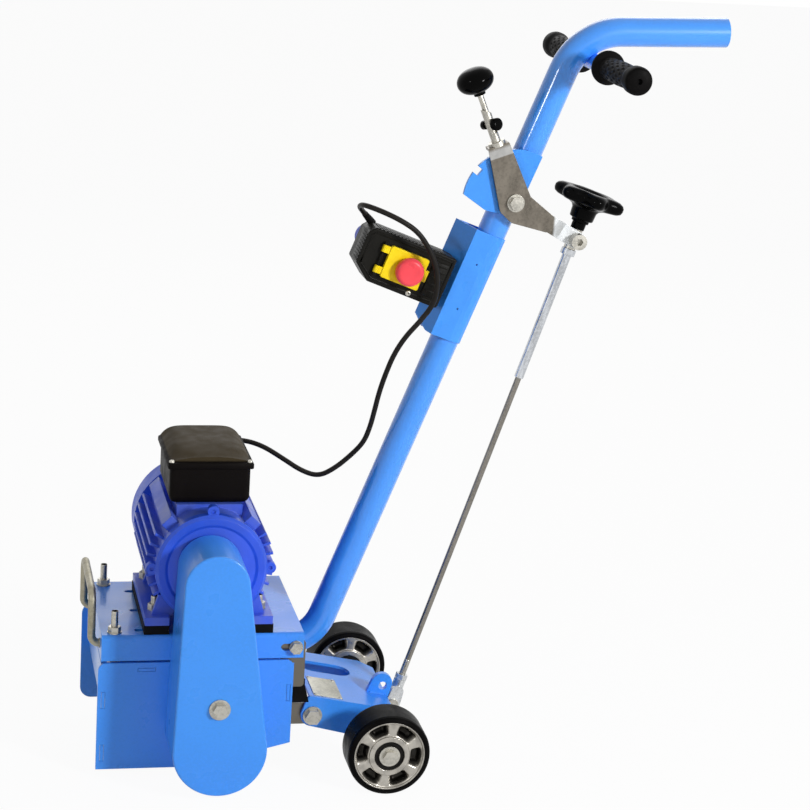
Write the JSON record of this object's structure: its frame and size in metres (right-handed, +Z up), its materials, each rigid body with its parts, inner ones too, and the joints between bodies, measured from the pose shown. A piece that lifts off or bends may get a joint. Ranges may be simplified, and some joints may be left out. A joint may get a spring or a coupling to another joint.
{
  "type": "floor scarifier",
  "caption": "Walk-behind electric floor scarifier: belt-driven milling drum in a blue steel body, motor on top, tilting wheel frame set by a lift lever and a hand-wheel depth rod.",
  "frame": {"origin": "On the floor under the middle of the machine's overall length and width.", "axes": "+X towards the operator, +Y to the operator's right, +Z up."},
  "size_m": [0.948, 0.454, 1.1717],
  "materials": {
    "blue_paint": "glossy light-blue powder coat",
    "motor_blue": "semi-gloss royal-blue machine paint",
    "zinc_steel": "bright zinc plate",
    "dark_steel": "plain machined steel",
    "cutter_steel": "hardened steel",
    "hub_alloy": "cast aluminium",
    "tyre_rubber": "solid black rubber",
    "black_rubber": "matte black rubber",
    "black_plastic": "black moulded plastic",
    "gloss_black": "polished black phenolic",
    "inlet_blue": "blue moulded plastic",
    "flap_yellow": "yellow moulded plastic",
    "button_red": "red moulded plastic",
    "button_green": "green moulded plastic"
  },
  "bodies": {
    "frame": {"left_side_plate": "blue_paint", "right_side_plate": "blue_paint", "drum_hood": "blue_paint", "dust_skirts": "black_rubber", "motor_plate": "blue_paint", "front_handle": "zinc_steel", "frame_bolts": "zinc_steel", "motor_pads": "black_rubber", "motor_housing": "motor_blue", "drive_end_shield": "motor_blue", "fan_end_shield": "motor_blue", "fan_cowl": "motor_blue", "motor_bearings": "dark_steel", "motor_bolts": "zinc_steel", "terminal_box": "black_plastic", "terminal_lid": "black_plastic", "cord_glands": "black_plastic", "drive_belts": "black_rubber", "belt_guard": "blue_paint", "drum_bearings": "dark_steel", "handle_tube": "blue_paint", "handlebar": "blue_paint", "grips": "black_rubber", "switch_bracket": "blue_paint", "switch_body": "black_plastic", "power_inlet": "inlet_blue", "cord": "black_rubber", "sector_plate": "blue_paint", "lever_pivot": "zinc_steel"},
    "rotor": {"rotor_shaft": "dark_steel", "cooling_fan": "black_plastic", "motor_pulley": "dark_steel"},
    "drum": {"drum_shaft": "dark_steel", "drum_discs": "dark_steel", "cutter_shafts": "dark_steel", "cutters": "cutter_steel", "drum_pulley": "dark_steel"},
    "wheel_frame": {"chassis_frame": "blue_paint", "axle": "dark_steel", "chassis_bolts": "zinc_steel"},
    "left_wheel": {"left_wheel_hub": "hub_alloy", "left_tyre": "tyre_rubber", "left_wheel_bearings": "dark_steel"},
    "right_wheel": {"right_wheel_hub": "hub_alloy", "right_tyre": "tyre_rubber", "right_wheel_bearings": "dark_steel"},
    "lever": {"lever_plate": "zinc_steel", "lever_tube": "zinc_steel"},
    "plunger": {"plunger_rod": "zinc_steel", "lever_knob": "gloss_black"},
    "rod": {"rod_trunnion": "zinc_steel", "link_pins": "zinc_steel", "adjuster_rod": "zinc_steel", "rod_clevis": "zinc_steel"},
    "depth_wheel": {"hand_wheel": "gloss_black", "adjuster_sleeve": "zinc_steel"},
    "flap": {"switch_flap": "flap_yellow"},
    "stop": {"stop_button": "button_red"},
    "start": {"start_button": "button_green"},
    "off": {"off_button": "button_red"}
  },
  "joints": [
    {"name": "drum_spin", "type": "hinge", "parent": "frame", "child": "drum", "pos_m": [-0.286, 0, 0.084], "axis": [0, 1, 0], "continuous": true},
    {"name": "rotor_spin", "type": "hinge", "parent": "frame", "child": "rotor", "pos_m": [-0.294, 0, 0.3335], "axis": [0, 1, 0], "continuous": true},
    {"name": "lever_swing", "type": "hinge", "parent": "frame", "child": "lever", "pos_m": [0.153, -0.0335, 0.886], "axis": [0, -1, 0], "range_deg": [0, 32]},
    {"name": "wheel_frame_swing", "type": "hinge", "parent": "frame", "child": "wheel_frame", "pos_m": [-0.126, 0, 0.087], "axis": [0, -1, 0], "range_deg": [0, 28.15]},
    {"name": "left_wheel_spin", "type": "hinge", "parent": "wheel_frame", "child": "left_wheel", "pos_m": [-0.024, -0.1755, 0.0635], "axis": [0, 1, 0], "continuous": true},
    {"name": "right_wheel_spin", "type": "hinge", "parent": "wheel_frame", "child": "right_wheel", "pos_m": [-0.024, 0.1755, 0.0635], "axis": [0, 1, 0], "continuous": true},
    {"name": "plunger_slide", "type": "slide", "parent": "lever", "child": "plunger", "axis": [-0.3987, 0, 0.9171], "range_m": [-0.009, 0]},
    {"name": "rod_swing", "type": "hinge", "parent": "lever", "child": "rod", "pos_m": [0.2555, -0.011, 0.8295], "axis": [0, -1, 0], "range_deg": [-33.76, 0]},
    {"name": "depth_wheel_spin", "type": "hinge", "parent": "rod", "child": "depth_wheel", "pos_m": [0.2555, -0.011, 0.8295], "axis": [0.2996, 0, 0.9541], "continuous": true},
    {"name": "flap_hinge", "type": "hinge", "parent": "frame", "child": "flap", "pos_m": [-0.05415, -0.047, 0.79273], "axis": [-0.3486, 0, -0.9373], "range_deg": [0, 110]},
    {"name": "stop_press", "type": "slide", "parent": "flap", "child": "stop", "axis": [0, 1, 0], "range_m": [0, 0.0035], "stiffness_N_per_m": 600, "springref_m": -0.001},
    {"name": "start_press", "type": "slide", "parent": "frame", "child": "start", "axis": [0, 1, 0], "range_m": [0, 0.003], "stiffness_N_per_m": 600, "springref_m": -0.001},
    {"name": "off_press", "type": "slide", "parent": "frame", "child": "off", "axis": [0, 1, 0], "range_m": [0, 0.003], "stiffness_N_per_m": 600, "springref_m": -0.001}
  ],
  "couplings": [
    {"joint": "rotor_spin", "follows": "drum_spin", "ratio": 1.4706},
    {"joint": "wheel_frame_swing", "follows": "lever_swing", "ratio": 0.8796},
    {"joint": "rod_swing", "follows": "lever_swing", "ratio": -1.0551}
  ]
}
